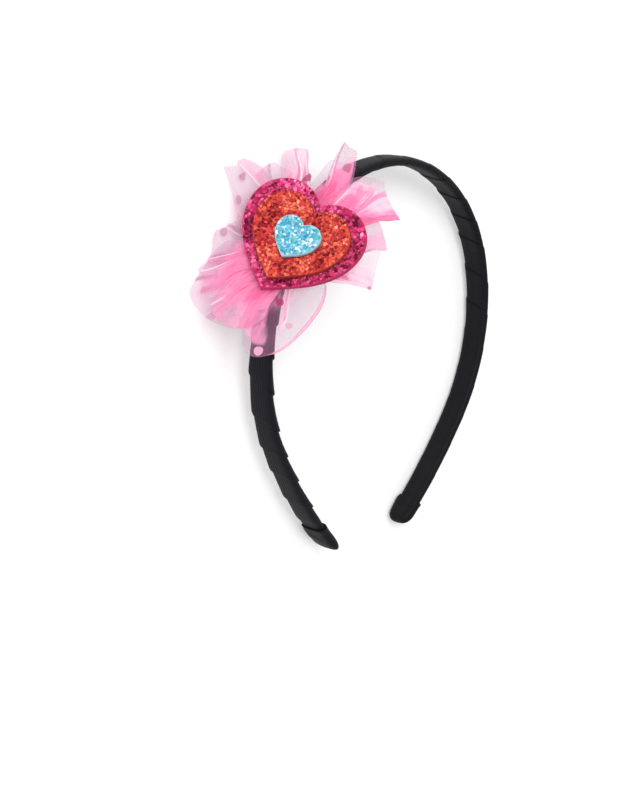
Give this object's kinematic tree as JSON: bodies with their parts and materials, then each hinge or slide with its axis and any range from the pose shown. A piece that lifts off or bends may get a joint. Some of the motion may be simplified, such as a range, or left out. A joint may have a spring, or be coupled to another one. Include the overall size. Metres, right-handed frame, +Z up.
{
  "type": "heart headband",
  "caption": "Ribbon-wound hair hoop, open between its tips, with stacked glitter hearts on a gathered tulle rosette on one arm, lying flat.",
  "frame": {"origin": "middle of the bounding box in plan, on the surface that the headband lies on", "axes": "+Z up, out of the hoop's front side, +Y towards the hoop's crown, +X across the hoop away from the hearts"},
  "size_m": [0.149, 0.15, 0.0498],
  "materials": {
    "ribbon": "black grosgrain ribbon, matt, fine ribs",
    "tulle": "sheer pink net with small flocked dots",
    "magenta_glitter": "coarse magenta glitter",
    "orange_glitter": "coarse orange-red glitter",
    "blue_glitter": "coarse pale blue iridescent glitter"
  },
  "bodies": {
    "root": {"wrapped_band": "ribbon", "end_wrap_left": "ribbon", "end_wrap_right": "ribbon", "tulle_gather": "tulle", "tulle_petal_1": "tulle", "tulle_petal_2": "tulle", "tulle_petal_3": "tulle", "tulle_petal_4": "tulle", "tulle_petal_5": "tulle", "tulle_petal_6": "tulle", "tulle_petal_7": "tulle", "tulle_petal_8": "tulle", "tulle_petal_9": "tulle", "heart_base": "magenta_glitter", "heart_middle": "orange_glitter", "heart_top": "blue_glitter"}
  },
  "joints": []
}
